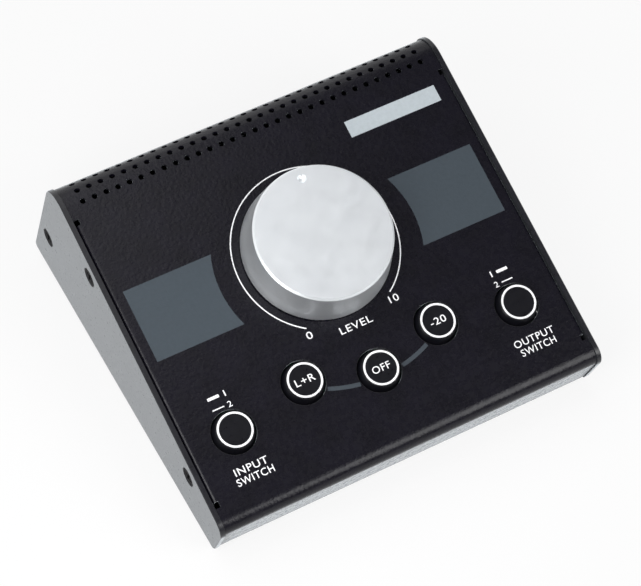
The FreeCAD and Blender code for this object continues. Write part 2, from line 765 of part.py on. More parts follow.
def make_button(name, x, y):
    """A hollow tapered cap on a square plunger, which slides in its push switch."""
    cap = panel_body(f"{name}_button", x, y)
    revolve(cap, [
        ("0", "cap_high"), ("cap_top / 2 - cap_edge", "cap_high"),
        ("cap_top / 2", "cap_high - cap_edge"), ("cap_base / 2", "-cap_skirt"), ("0", "-cap_skirt"),
    ])
    hollow = sketch_on(cap, "XY_Plane", "hollow", lift="-cap_skirt")
    add_round(hollow, BUSH_FLATS, "cap_top - 2 * cap_wall")
    pocket(cap, hollow, "cap_skirt + cap_high - cap_wall", reverse=True)
    hub = sketch_on(cap, "XY_Plane", "hub", lift="-cap_hub_low")
    add_rectangle(hub, "-cap_hub / 2", "cap_hub / 2", "-cap_hub / 2", "cap_hub / 2")
    pad(cap, hub, "cap_hub_low + cap_high - cap_wall")
    socket = sketch_on(cap, "XY_Plane", "socket", lift="-cap_hub_low")
    add_rectangle(socket, "-plunger / 2", "plunger / 2", "-plunger / 2", "plunger / 2")
    pocket(cap, socket, "cap_socket", reverse=True)

    stem = panel_body(f"{name}_plunger", x, y)
    foot = "(-board_drop + switch_high - plunger_low)"
    section = sketch_on(stem, "XY_Plane", "section", lift=foot)
    add_rectangle(section, "-plunger / 2", "plunger / 2", "-plunger / 2", "plunger / 2")
    pad(stem, section, f"cap_socket - cap_hub_low - {foot}")

    switch = panel_body(f"{name}_switch", x, y)
    case = sketch_on(switch, "XY_Plane", "case", lift="-board_drop")
    add_rectangle(case, "-switch / 2", "switch / 2", "-switch / 2", "switch / 2")
    pad(switch, case, "switch_high")
    well = sketch_on(switch, "XY_Plane", "well", lift="-board_drop + switch_high")
    side = "plunger / 2 + plunger_play"
    add_rectangle(well, f"-({side})", side, f"-({side})", side)
    pocket(switch, well, "switch_high - switch_floor")


# ---------------------------------------------------------------- boards

def make_boards():
    main = panel_body("main_board")
    outline = sketch_on(main, "XY_Plane", "outline", lift="-board_drop - board")
    add_rectangle(outline, "-board_half", "board_half", "-board_front", "board_rear")
    for x, y in POSTS:
        add_round(outline, SCREW_FLATS, "post_screw + free_play", x, y)
    pad(main, outline, "board")

    posts = panel_body("board_standoffs")
    hexagons = sketch_on(posts, "XY_Plane", "hexagons", lift="-board_drop")
    for x, y in POSTS:
        add_hexagon(hexagons, "post", x, y)
    pad(posts, hexagons, "board_drop - sheet")
    taps = sketch_on(posts, "XY_Plane", "taps", lift="-board_drop")
    for x, y in POSTS:
        add_round(taps, SCREW_FLATS, "post_screw + tight_play", x, y)
    pocket(posts, taps, "post_tap", reverse=True)

    screws = panel_body("board_screws")
    under = "-board_drop - board"
    heads = sketch_on(screws, "XY_Plane", "heads", lift=under)
    shanks = sketch_on(screws, "XY_Plane", "shanks", lift=under)
    for x, y in POSTS:
        add_circle(heads, "post_head", x, y)
        add_round(shanks, SCREW_FLATS, "post_screw", x, y)
    pad(screws, heads, "post_head_high", reverse=True, taper="-post_head_draft")
    pad(screws, shanks, "board + post_thread")

    rear = panel_body("jack_board")
    board_front = "(rear_reach - sheet - jack_deep - board)"
    outline = sketch_on(rear, "XZ_Plane", "outline", lift=f"-{board_front}")
    add_rectangle(outline, "-jack_outer - jack_board_side", "jack_outer + jack_board_side",
                  "-jack_lower - jack_board_low", "-jack_upper + jack_board_top")
    pad(rear, outline, "board", reverse=True)

    plug = panel_body("main_header")
    box = sketch_on(plug, "XY_Plane", "box", lift="-board_drop - board")
    add_rectangle(box, "-header_wide / 2", "header_wide / 2",
                  "header_v - header_thick / 2", "header_v + header_thick / 2")
    pad(plug, box, "header_high", reverse=True)

    socket = panel_body("jack_header")
    box = sketch_on(socket, "XZ_Plane", "box", lift=f"-{board_front}")
    add_rectangle(box, "-header_wide / 2", "header_wide / 2",
                  "-jack_header_drop - header_thick / 2", "-jack_header_drop + header_thick / 2")
    pad(socket, box, "header_high")

    # flat cable: straight down out of one header, one bend, straight back into the other
    cable = panel_body("ribbon_cable")
    strip = sketch_on(cable, "YZ_Plane", "strip")
    top = "-board_drop - board - header_high"
    add_polygon(strip, [
        ("header_v - ribbon / 2", top), ("header_v + ribbon / 2", top),
        ("header_v + ribbon / 2", "-jack_header_drop + ribbon / 2"),
        (f"{board_front} - header_high", "-jack_header_drop + ribbon / 2"),
        (f"{board_front} - header_high", "-jack_header_drop - ribbon / 2"),
        ("header_v - ribbon / 2", "-jack_header_drop - ribbon / 2"),
    ])
    flat = pad(cable, strip, "ribbon_wide", both_ways=True)
    inner = cross_edges(flat, "header_v + ribbon / 2", "-jack_header_drop + ribbon / 2")
    turned = dress(cable, "Fillet", flat, inner, "ribbon_bend - ribbon")
    outer = cross_edges(turned, "header_v - ribbon / 2", "-jack_header_drop - ribbon / 2")
    dress(cable, "Fillet", turned, outer, "ribbon_bend")

    resistors = panel_body("dim_resistors")
    ends = sketch_on(resistors, "XZ_Plane", "ends", lift="resistor_front")
    for index in range(DIMENSIONS["resistor_count"]):
        add_round(ends, SCREW_FLATS, "resistor", f"resistor_x + {index} * resistor_pitch",
                  "-board_drop + resistor / 2")
    pad(resistors, ends, "resistor_long")


# ---------------------------------------------------------------- jacks

def make_jack(name, x, z):
    """Quarter-inch jack: a square housing behind the rear face and a threaded bush through it."""
    body = panel_body(f"{name}_jack", x, "rear_reach", z)
    housing = sketch_on(body, "XZ_Plane", "housing", lift="sheet")
    add_rectangle(housing, "-jack_wide / 2", "jack_wide / 2", "-jack_high / 2", "jack_high / 2")
    pad(body, housing, "jack_deep")
    bush = sketch_on(body, "XZ_Plane", "bush", lift="sheet")
    add_round(bush, BUSH_FLATS, "bush")
    threaded = pad(body, bush, "sheet + bush_out", reverse=True)
    mouth = value("bush_out")
    rim = edges(threaded, lambda b: near(b.YMin, mouth) and near(b.YMax, mouth))
    dress(body, "Chamfer", threaded, rim, "bush_edge")
    bore = sketch_on(body, "XZ_Plane", "bore", lift="-bush_out")
    add_circle(bore, "jack_bore")
    pocket(body, bore, "jack_reach", reverse=True)


def make_jack_nuts():
    body = panel_body("jack_nuts", "0", "rear_reach", "0")
    flats = sketch_on(body, "XZ_Plane", "flats")
    for x, z in JACKS.values():
        add_hexagon(flats, "jack_nut", x, z)
        add_circle(flats, "bush + tight_play", x, z)
    pad(body, flats, "jack_nut_thick", reverse=True)


# ---------------------------------------------------------------- build, check and write

make_top_cover()
for side_name, side_sign in (("left", -1), ("right", 1)):
    make_side_plate(f"{side_name}_side_plate", side_sign)
    make_side_screws(f"{side_name}_side_screws", side_sign)
make_base_plate()
make_base_screws()
make_feet()
make_knob()
make_knob_hub()
make_pot()
for button, (button_x, button_y) in BUTTONS.items():
    make_button(button, button_x, button_y)
make_boards()
for jack, (jack_x, jack_z) in JACKS.items():
    make_jack(jack, jack_x, jack_z)
make_jack_nuts()
doc.recompute()

for item in doc.Objects:
    if "Invalid" in item.State or "Error" in item.State:
        raise RuntimeError(f"{item.Label} failed: {item.State}")

bodies = [item for item in doc.Objects if item.TypeId == "PartDesign::Body"]
os.makedirs("parts", exist_ok=True)
for body in bodies:
    if body.Shape.isNull() or not body.Shape.isValid():
        raise RuntimeError(f"{body.Label} has no valid shape")
    body.Shape.exportStep(f"parts/{body.Label}.step")
print(f"{len(bodies)} pieces written")
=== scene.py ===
"""Looks of a desktop monitor controller: paint, prints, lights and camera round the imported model."""
import json
import math

import bmesh
import bpy
from mathutils import Matrix, Vector


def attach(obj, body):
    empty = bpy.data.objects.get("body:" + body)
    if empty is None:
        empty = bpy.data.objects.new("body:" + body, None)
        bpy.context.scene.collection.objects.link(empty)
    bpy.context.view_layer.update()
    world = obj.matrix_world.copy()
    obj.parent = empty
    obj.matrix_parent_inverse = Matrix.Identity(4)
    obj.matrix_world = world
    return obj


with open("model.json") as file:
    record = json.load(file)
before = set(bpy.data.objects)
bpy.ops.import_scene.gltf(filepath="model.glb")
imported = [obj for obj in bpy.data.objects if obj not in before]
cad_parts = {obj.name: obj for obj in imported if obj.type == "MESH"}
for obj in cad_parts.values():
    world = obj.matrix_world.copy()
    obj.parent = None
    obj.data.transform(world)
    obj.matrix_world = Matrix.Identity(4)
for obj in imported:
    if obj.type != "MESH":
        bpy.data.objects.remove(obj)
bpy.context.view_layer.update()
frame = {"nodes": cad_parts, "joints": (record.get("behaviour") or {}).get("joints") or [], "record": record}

MM = 0.001

# ---------------------------------------------------------------- the panel's own frame

knob_turn = next(joint for joint in frame["joints"] if joint["name"] == "volume_turn")
PANEL_NORMAL = Vector(knob_turn["axis"]).normalized()
PANEL_CENTRE = Vector(knob_turn["pos_m"])
TILT = math.atan2(-PANEL_NORMAL.y, PANEL_NORMAL.z)

# millimetres across, up the slope and out of the panel, from its surface under the knob
PANEL = Matrix.Translation(PANEL_CENTRE) @ Matrix.Rotation(TILT, 4, "X") @ Matrix.Scale(MM, 4)
TO_PANEL = PANEL.inverted()


def panel_box(node):
    """Lowest and highest corner of a node in the panel's frame, in millimetres."""
    points = [TO_PANEL @ vertex.co for vertex in frame["nodes"][node].data.vertices]
    low = Vector([min(point[axis] for point in points) for axis in range(3)])
    high = Vector([max(point[axis] for point in points) for axis in range(3)])
    return low, high


# ---------------------------------------------------------------- places read from the frame (mm)

CAPS = {}                   # middle of each cap's top
for button in ("source", "mono", "mute", "dim", "monitor"):
    low, high = panel_box(f"{button}_button")
    CAPS[button] = Vector(((low.x + high.x) / 2, (low.y + high.y) / 2, high.z))

JACKS = [node for node in frame["nodes"] if node.endswith("_jack")]
NUT_FACE = panel_box("jack_nuts")[1].y

# ---------------------------------------------------------------- printed marks (mm)

INK = 0.03                  # thickness of the print above its surface
INK_SUNK = 0.01             # and below it

LETTER_CAP = 2.6
LETTER_WEIGHT = 0.005       # outline thickening over the letter's size
LETTER_SPACE = 1.1          # over the font's own spacing
LETTER_STEPS = 8            # in each curve of an outline

DIAL_RADIUS = 29.9
DIAL_LINE = 0.42
DIAL_GAP = 33.3             # degrees either side of straight down
DIAL_STEPS = 120
DIAL_WORDS = (              # piece, word, middle, width
    ("dial_low", "0", (-16.6, -27.6), 2.2),
    ("dial_high", "10", (16.6, -27.6), 3.6),
    ("dial_word", "LEVEL", (0.0, -30.8), 12.4),
)

LINK_RADIUS = 51.0
LINK_LINE = 1.5
LINK_NEAR = 157.5           # degrees from straight up, at the mono and dim buttons
LINK_FAR = 170.7            # and at the mute button between them
LINK_STEPS = 40

RING_RADIUS = 5.9           # the ring on each cap
RING_LINE = 0.74
RING_STEPS = 96
HOLE_RADIUS = 8.0           # the cap's hole in the panel, with a painted highlight round its edge
# width of the painted highlight ring round each hole's edge
EDGE_HIGHLIGHT_LINE = 0.12
CAP_WORDS = {"mono": ("L+R", 7.4), "mute": ("OFF", 6.8), "dim": ("-20", 6.0)}   # word, width

BLOCK_OUT = 68.45
BLOCK_TOP = 12.35
BLOCK_LOW = -14.85
BLOCK_CURVE = 37.65         # radius of the inner edge
BLOCK_CURVE_LOW = -1.8      # its centre, below the knob's
BLOCK_ROWS = 24

MARK_X = 56.8               # the switch marks by the outer buttons
MARK_LONG = 4.4
MARK_CORNER = 0.32          # radius of a bar's corners over its line
MARK_NUMBER_X = 52.5
MARK_NUMBER_CAP = 2.1
MARK_ROWS = (               # row, y, line, number, the number's width over its height
    ("out", -33.9, 1.1, "1", 0.24),
    ("in", -38.0, 0.42, "2", 0.7),
)

LABEL_X = 55.6
LABEL_ROWS = (-60.4, -63.95)
LABELS = (                  # piece, side, words with their widths
    ("source_label", -1, (("INPUT", 12.4), ("SWITCH", 13.8))),
    ("monitor_label", 1, (("OUTPUT", 15.8), ("SWITCH", 13.8))),
)

STRIP = (30.4, 66.9, 31.2, 37.5)    # left, right, low and top edge

# ---------------------------------------------------------------- threads of the jacks (mm)

THREAD_START = 0.1          # beyond the nut
THREAD_PITCH = 0.65
THREAD_TURNS = 2
THREAD_PROFILE = ((0.0, 4.72), (0.4, 4.85), (0.6, 4.85), (1.0, 4.72))   # share of the pitch, radius
THREAD_STEPS = 48

# ---------------------------------------------------------------- textures

NOISE_ROUGHNESS = 0.6
NOISE_SPAN = (0.3, 0.7)     # the part of its range where noise has nearly all its values
WAVE_SPAN = math.tau / 20   # a wave texture repeats at this over its scale
RIB_PITCH = 2.5056086       # mm
VALUE_BAND_PITCH = 3.1566723    # mm
TRACK_SIZE = 26.0           # mm, over the brick texture's own size
TRACK_WIDTH = 0.02          # over the same

# ---------------------------------------------------------------- camera and light

SENSOR = 36.0               # mm wide
LENS = 143.05
CAMERA_CLIP = (0.05, 20.0)  # metres
CAMERA_AZIMUTH = -31.652    # degrees round from the front, negative to the left
CAMERA_ELEVATION = 56.578
CAMERA_ROLL = 3.593
CAMERA_DISTANCE = 877.2     # mm
CAMERA_AIM = (-6.12, -15.56, 0.0)   # on the panel

WHITE = (0.965, 0.965, 0.965, 1.0)  # backdrop and floor as the camera sees them
ROOM = (0.20, 0.20, 0.21, 1.0)      # the room's light on the object
BACKDROP_BACK = (-0.1, 0.25)        # where gloss begins to see the backdrop, and where fully:
BACKDROP_TOP = (0.75, 0.35)         # towards the rear (a direction's y) and downwards (its z)
FLOOR_HALF = 3.0            # metres
FLOOR_PAINT = (0.9, 0.9, 0.9, 1.0)
SHADOW_SHARE = 0.12         # of the floor's own shading near the object
SHADOW_NEAR = 0.10          # metres from the middle of the object
SHADOW_FAR = 0.26
LIGHTS = (                  # name, azimuth, elevation, metres away, its sides, watts, level
    ("overhead_light", -146.0, 60.5, 1.05, (1.0, 1.0), 5.1, True),
    ("left_light", -62.0, 36.0, 0.45, (0.3, 0.3), 1.6, False),
    ("front_light", 30.0, 37.0, 0.9, (0.5, 0.6), 4.5, False),
    ("rear_light", 160.0, 40.0, 1.0, (0.8, 0.3), 0.6, False),
)


# ---------------------------------------------------------------- mesh helpers

def new_object(name, data):
    obj = bpy.data.objects.new(name, data)
    bpy.context.scene.collection.objects.link(obj)
    return obj


def add_piece(name, mesh, material, body):
    """A piece of the looks, which moves with one of the model's bodies."""
    obj = new_object(name, mesh)
    mesh.materials.append(material)
    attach(obj, body)
    return obj


def mesh_piece(name, vertices, faces, material, body="case"):
    """A piece from points in the panel's frame, in millimetres."""
    mesh = bpy.data.meshes.new(name)
    mesh.from_pydata([PANEL @ Vector(vertex) for vertex in vertices], [], faces)
    mesh.update()
    work = bmesh.new()
    work.from_mesh(mesh)
    bmesh.ops.recalc_face_normals(work, faces=work.faces)
    work.to_mesh(mesh)
    work.free()
    return add_piece(name, mesh, material, body)


def arc(radius, start, end, steps, centre=(0.0, 0.0)):
    """Points on an arc; the angles are degrees from straight up, clockwise."""
    points = []
    for index in range(steps + 1):
        angle = math.radians(start + (end - start) * index / steps)
        points.append((centre[0] + radius * math.sin(angle), centre[1] + radius * math.cos(angle)))
    return points


def band(name, inner, outer, height, material, body="case", closed=False):
    """A thin printed band between two lines of points."""
    count = len(inner)
    vertices = []
    for z in (height - INK_SUNK, height + INK):
        vertices += [(x, y, z) for x, y in inner]
        vertices += [(x, y, z) for x, y in outer]
    faces = []
    for index in range(count if closed else count - 1):
        a, b = index, (index + 1) % count
        c, d = b + count, a + count
        top = 2 * count
        faces += [(a, d, c, b), (a + top, b + top, c + top, d + top),
                  (a, b, b + top, a + top), (d, d + top, c + top, c)]
    if not closed:
        for end in (0, count - 1):
            faces.append((end, end + count, end + 3 * count, end + 2 * count))
    return mesh_piece(name, vertices, faces, material, body)


def ring(name, centre, radius, line, height, material, body):
    inner = arc(radius - line / 2, 0, 360, RING_STEPS, centre)[:-1]
    outer = arc(radius + line / 2, 0, 360, RING_STEPS, centre)[:-1]
    return band(name, inner, outer, height, material, body, closed=True)


def arc_band(name, radius, line, start, end, steps, material):
    inner = arc(radius - line / 2, start, end, steps)
    outer = arc(radius + line / 2, start, end, steps)
    return band(name, inner, outer, 0.0, material)


def dash(name, middle, long, line, material):
    """A short printed line with rounded corners."""
    corner = line * MARK_CORNER
    ends = []
    for angle in (0, 30, 60, 90):
        turned = math.radians(angle)
        ends.append((long / 2 - corner * (1 - math.cos(turned)),
                     line / 2 - corner * (1 - math.sin(turned))))
    edge = [(-x, y) for x, y in ends] + [(x, y) for x, y in reversed(ends)]
    low = [(middle[0] + x, middle[1] - y) for x, y in edge]
    top = [(middle[0] + x, middle[1] + y) for x, y in edge]
    return band(name, low, top, 0.0, material)


def lettering(name, words, centre, width, cap, material, height=0.0, body="case"):
    """Printed letters as a thin mesh, fitted to a width and a capital's height."""
    curve = bpy.data.curves.new(name, "FONT")
    curve.body = words
    curve.size = 1.0
    curve.resolution_u = LETTER_STEPS
    curve.extrude = (INK + INK_SUNK) / 2
    curve.offset = LETTER_WEIGHT
    curve.space_character = LETTER_SPACE
    holder = new_object(name, curve)
    bpy.context.view_layer.update()
    mesh = bpy.data.meshes.new_from_object(holder)
    bpy.data.objects.remove(holder)
    low = Vector([min(vertex.co[axis] for vertex in mesh.vertices) for axis in range(2)])
    high = Vector([max(vertex.co[axis] for vertex in mesh.vertices) for axis in range(2)])
    middle = (low + high) / 2
    place = (PANEL @ Matrix.Translation((centre[0], centre[1], height + (INK - INK_SUNK) / 2))
             @ Matrix.Diagonal((width / (high.x - low.x), cap / (high.y - low.y), 1.0, 1.0))
             @ Matrix.Translation((-middle.x, -middle.y, 0.0)))
    mesh.transform(place)
    mesh.materials.clear()
    mesh.name = name
    return add_piece(name, mesh, material, body)


# ---------------------------------------------------------------- materials

class Tree:
    """The node tree of a material or of the world, with short ways to fill it."""

    def __init__(self, owner):
        owner.use_nodes = True
        self.nodes = owner.node_tree.nodes
        self.links = owner.node_tree.links

    def node(self, kind, *sources, **settings):
        """A node with its settings; the sources are linked to its first sockets, in order."""
        node = self.nodes.new(kind)
        for key, setting in settings.items():
            if hasattr(node, key):
                setattr(node, key, setting)
            else:
                node.inputs[key.replace("_", " ")].default_value = setting
        for socket, source in zip(node.inputs, sources):
            self.links.new(source, socket)
        return node

    def maths(self, operation, first, second):
        return self.node("ShaderNodeMath", first, second, operation=operation).outputs[0]

    def fade(self, source, start, end, low=0.0):
        """A smooth way from low, where the source is at the start, to 1 at the end."""
        return self.node("ShaderNodeMapRange", source, interpolation_type="SMOOTHSTEP", From_Min=start,
                         From_Max=end, To_Min=low).outputs["Result"]


class Paint(Tree):
    """A procedural material on one Principled shader."""

    def __init__(self, name):
        self.material = bpy.data.materials.new(name)
        super().__init__(self.material)
        self.shader = self.nodes["Principled BSDF"]
        self.place = self.node("ShaderNodeTexCoord").outputs["Object"]

    def set(self, **sockets):
        for socket, setting in sockets.items():
            self.shader.inputs[socket.replace("_", " ")].default_value = setting

    def on_panel(self, scale=(1.0, 1.0, 1.0)):
        """The place turned to the panel's slope, with its axes scaled."""
        return self.node("ShaderNodeMapping", self.place, Rotation=(-TILT, 0, 0),
                         Scale=scale).outputs["Vector"]

    def noise(self, size, detail=3.0, stretch=None):
        """Noise with features of the given size in millimetres."""
        place = self.on_panel(stretch) if stretch else self.place
        return self.node("ShaderNodeTexNoise", place, Scale=1 / (size * MM), Detail=detail,
                         Roughness=NOISE_ROUGHNESS).outputs["Fac"]

    def waves(self, place, direction, pitch):
        """Straight waves across a direction, at a pitch in millimetres."""
        return self.node("ShaderNodeTexWave", place, bands_direction=direction,
                         Scale=WAVE_SPAN / (pitch * MM), Distortion=0.0).outputs["Fac"]

    def ramp(self, source, low, high, span):
        """From one value or colour to another, while the source crosses the span."""
        node = self.node("ShaderNodeValToRGB", source)
        for element, position, colour in zip(node.color_ramp.elements, span, (low, high)):
            if not isinstance(colour, tuple):
                colour = (colour, colour, colour)
            element.position = position
            element.color = (*colour, 1.0)
        return node.outputs["Color"]

    def colour(self, source, low, high, span=NOISE_SPAN):
        self.links.new(self.ramp(source, low, high, span), self.shader.inputs["Base Color"])

    def roughness(self, source, low, high):
        self.links.new(self.ramp(source, low, high, NOISE_SPAN), self.shader.inputs["Roughness"])

    def bump(self, source, height, strength=1.0):
        """Relief of the given height in millimetres; another one goes on top of it."""
        node = self.node("ShaderNodeBump", Strength=strength, Distance=height * MM)
        self.links.new(source, node.inputs["Height"])
        normal = self.shader.inputs["Normal"]
        if normal.links:
            self.links.new(normal.links[0].from_socket, node.inputs["Normal"])
        self.links.new(node.outputs["Normal"], normal)


def shades(colour, *factors):
    """A colour made darker or lighter by each factor."""
    return [tuple(min(1.0, channel * factor) for channel in colour) for factor in factors]


def powder_coat(name, colour, rough, wrinkle, gloss, veil):
    """Fine-textured paint: leathery wrinkles under a close grain, pale where it is seen edge on."""
    paint = Paint(name)
    paint.colour(paint.noise(9.0, detail=4.0), *shades(colour, 0.8, 1.2), span=(0.35, 0.65))
    paint.roughness(paint.noise(1.7), rough - 0.04, rough + 0.05)
    paint.bump(paint.noise(1.3, detail=2.0), wrinkle)
    paint.bump(paint.noise(0.4, detail=1.0), 0.01, strength=0.5)
    paint.set(Specular_IOR_Level=gloss, Sheen_Weight=1.0, Sheen_Roughness=veil,
              Sheen_Tint=(0.88, 0.95, 1.0, 1.0))
    return paint.material


def satin_aluminium():
    """Bead-blasted and anodised: even fine grain with faint soft blotches."""
    paint = Paint("satin_aluminium")
    paint.colour(paint.noise(18.0, detail=2.0), (0.85, 0.88, 0.905), (0.88, 0.91, 0.93))
    paint.roughness(paint.noise(5.0), 0.36, 0.42)
    paint.bump(paint.noise(0.22, detail=2.0), 0.004, strength=0.4)
    paint.set(Metallic=0.85)
    return paint.material


def metal(name, colour, rough, stretch=None):
    """Plated or bare metal with a fine grain, which can be drawn out along an axis."""
    paint = Paint(name)
    paint.colour(paint.noise(2.5), *shades(colour, 0.85, 1.1))
    paint.roughness(paint.noise(1.1), rough - 0.06, rough + 0.08)
    paint.bump(paint.noise(0.4, stretch=stretch), 0.006, strength=0.5)
    paint.set(Metallic=1.0)
    return paint.material


def plastic(name, colour, rough, grain=0.3, height=0.006, gloss=0.22):
    """A moulding, or another dull dark surface, with an even grain."""
    paint = Paint(name)
    paint.colour(paint.noise(4.0), *shades(colour, 0.85, 1.2))
    paint.roughness(paint.noise(1.3), rough - 0.05, rough + 0.07)
    paint.bump(paint.noise(grain, detail=2.0), height, strength=0.6)
    paint.set(Specular_IOR_Level=gloss)
    return paint.material


def solder_mask():
    """Green lacquer over copper tracks, which show as slightly raised paler lines."""
    paint = Paint("solder_mask")
    black, white = (0.0, 0.0, 0.0, 1.0), (1.0, 1.0, 1.0, 1.0)
    tracks = paint.node("ShaderNodeTexBrick", paint.on_panel(), Color1=black, Color2=black,
                        Mortar=white, Scale=1 / (TRACK_SIZE * MM),
                        Mortar_Size=TRACK_WIDTH).outputs["Color"]
    paint.colour(tracks, (0.012, 0.075, 0.03), (0.03, 0.16, 0.06), span=(0.1, 0.9))
    paint.roughness(paint.noise(2.0), 0.22, 0.34)
    paint.bump(tracks, 0.035)
    paint.bump(paint.noise(0.5), 0.01, strength=0.4)
    return paint.material


def flat_cable():
    """Grey ribbed insulation, with painted shade darkening the grooves between the ribs."""
    paint = Paint("flat_cable")
    ribs = paint.waves(paint.place, "X", RIB_PITCH)
    # painted shade: the waves that give the relief also make the grooves darker and the crests paler
    paint.colour(ribs, (0.22, 0.22, 0.23), (0.36, 0.36, 0.37), span=(0.2, 0.8))
    paint.roughness(paint.noise(1.0), 0.42, 0.55)
    paint.bump(ribs, 0.12)
    return paint.material


def resistor_lacquer():
    """Pale blue lacquer with darker value bands round each body."""
    paint = Paint("resistor_lacquer")
    bands = paint.waves(paint.on_panel(), "Y", VALUE_BAND_PITCH)
    paint.colour(bands, (0.10, 0.26, 0.40), (0.16, 0.05, 0.02), span=(0.70, 0.78))
    paint.roughness(paint.noise(0.8), 0.25, 0.4)
    paint.bump(paint.noise(0.5), 0.02)
    return paint.material


def ink(name, colour, rough=0.45):
    """Screen print: nearly even, with the paint's wrinkles and grain showing through."""
    paint = Paint(name)
    paint.colour(paint.noise(1.2), *shades(colour, 0.94, 1.04))
    paint.roughness(paint.noise(2.0), rough - 0.05, rough + 0.08)
    paint.bump(paint.noise(1.3, detail=2.0), 0.09)
    paint.bump(paint.noise(0.35, detail=2.0), 0.008, strength=0.5)
    paint.set(Specular_IOR_Level=0.3)
    return paint.material


SLOT_MATERIALS = {
    "cover_paint": powder_coat("cover_powder_coat", (0.0036, 0.0031, 0.0066), rough=0.27,
                               wrinkle=0.085, gloss=0.27, veil=0.22),
    "plate_paint": powder_coat("plate_powder_coat", (0.006, 0.006, 0.009), rough=0.30,
                               wrinkle=0.03, gloss=0.45, veil=0.27),
    "black_screw": plastic("black_oxide", (0.008, 0.008, 0.009), rough=0.6, gloss=0.05),
    "bright_steel": metal("plated_steel", (0.58, 0.58, 0.60), rough=0.28),
    "nut_nickel": metal("nickel", (0.52, 0.51, 0.49), rough=0.24, stretch=(1.0, 6.0, 1.0)),
    "knob_aluminium": satin_aluminium(),
    "foot_rubber": plastic("foot_rubber", (0.018, 0.018, 0.018), rough=0.75, grain=0.5, height=0.03),
    "button_black": plastic("button_black", (0.004, 0.004, 0.006), rough=0.32),
    "jack_plastic": plastic("jack_nylon", (0.012, 0.012, 0.013), rough=0.5),
    "board_green": solder_mask(),
    "ribbon_grey": flat_cable(),
    "pot_metal": metal("pressed_can", (0.5, 0.49, 0.46), rough=0.35),
    "resistor_body": resistor_lacquer(),
    "moulded_plastic": plastic("moulded_grey", (0.05, 0.05, 0.055), rough=0.5),
}
for subpart in frame["record"]["subparts"]:
    node = frame["nodes"][subpart["node"]]
    node.data.materials.clear()
    node.data.materials.append(SLOT_MATERIALS[subpart["material_slot"]])

WHITE_INK = ink("white_print", (0.86, 0.86, 0.87))
STRIP_INK = ink("strip_print", (0.42, 0.465, 0.49))
GREY_INK = ink("grey_print", (0.040, 0.050, 0.061))
BLOCK_INK = ink("block_print", (0.044, 0.057, 0.069), rough=0.42)
# painted highlight: a paler metal ring standing in for light caught by the edge of each cap's hole
HOLE_EDGE_HIGHLIGHT = metal("hole_edge_highlight", (0.05, 0.05, 0.055), rough=0.4)


# ---------------------------------------------------------------- prints on the panel

def print_dial():
    arc_band("dial_arc", DIAL_RADIUS, DIAL_LINE, DIAL_GAP - 180, 180 - DIAL_GAP, DIAL_STEPS, WHITE_INK)
    for name, word, middle, width in DIAL_WORDS:
        lettering(name, word, middle, width, LETTER_CAP, WHITE_INK)


def print_blocks():
    """Two plain blocks whose inner edges follow the knob."""
    for name, side in (("left_block", -1), ("right_block", 1)):
        inner, outer = [], []
        for row in range(BLOCK_ROWS + 1):
            y = BLOCK_LOW + (BLOCK_TOP - BLOCK_LOW) * row / BLOCK_ROWS
            inner.append((side * math.sqrt(BLOCK_CURVE ** 2 - (y - BLOCK_CURVE_LOW) ** 2), y))
            outer.append((side * BLOCK_OUT, y))
        band(name, inner, outer, 0.0, BLOCK_INK)


def print_links():
    """The grey arcs that join the three middle buttons."""
    for name, side in (("link_left", -1), ("link_right", 1)):
        arc_band(name, LINK_RADIUS, LINK_LINE, side * LINK_NEAR, side * LINK_FAR, LINK_STEPS, GREY_INK)


def print_buttons():
    """A ring on each cap, a painted highlight round the edge of its hole, and a word on the middle three."""
    for name, cap in CAPS.items():
        centre = (cap.x, cap.y)
        ring(f"{name}_ring", centre, RING_RADIUS, RING_LINE, cap.z, WHITE_INK, f"{name}_key")
        # painted highlight: a paler ring where light would catch the hole's edge
        ring(f"{name}_rim", centre, HOLE_RADIUS + EDGE_HIGHLIGHT_LINE / 2, EDGE_HIGHLIGHT_LINE, 0.0, HOLE_EDGE_HIGHLIGHT, "case")
        if name in CAP_WORDS:
            word, width = CAP_WORDS[name]
            lettering(f"{name}_word", word, centre, width, LETTER_CAP, WHITE_INK, height=cap.z,
                      body=f"{name}_key")


def print_switch_marks():
    """By each outer button: a thick bar for the button out, a thin line for the button in."""
    for switch, side in (("source", -1), ("monitor", 1)):
        for row, y, line, number, shape in MARK_ROWS:
            dash(f"{switch}_{row}_bar", (side * MARK_X, y), MARK_LONG, line, WHITE_INK)
            lettering(f"{switch}_{row}_number", number, (side * MARK_NUMBER_X, y),
                      MARK_NUMBER_CAP * shape, MARK_NUMBER_CAP, WHITE_INK)


def print_labels():
    for name, side, words in LABELS:
        for y, (word, width) in zip(LABEL_ROWS, words):
            lettering(f"{name}_{word.lower()}", word, (side * LABEL_X, y), width, LETTER_CAP, WHITE_INK)


def print_strip():
    """A pale strip to write on."""
    left, right, low, top = STRIP
    band("write_on_strip", [(left, low), (right, low)], [(left, top), (right, top)], 0.0, STRIP_INK)


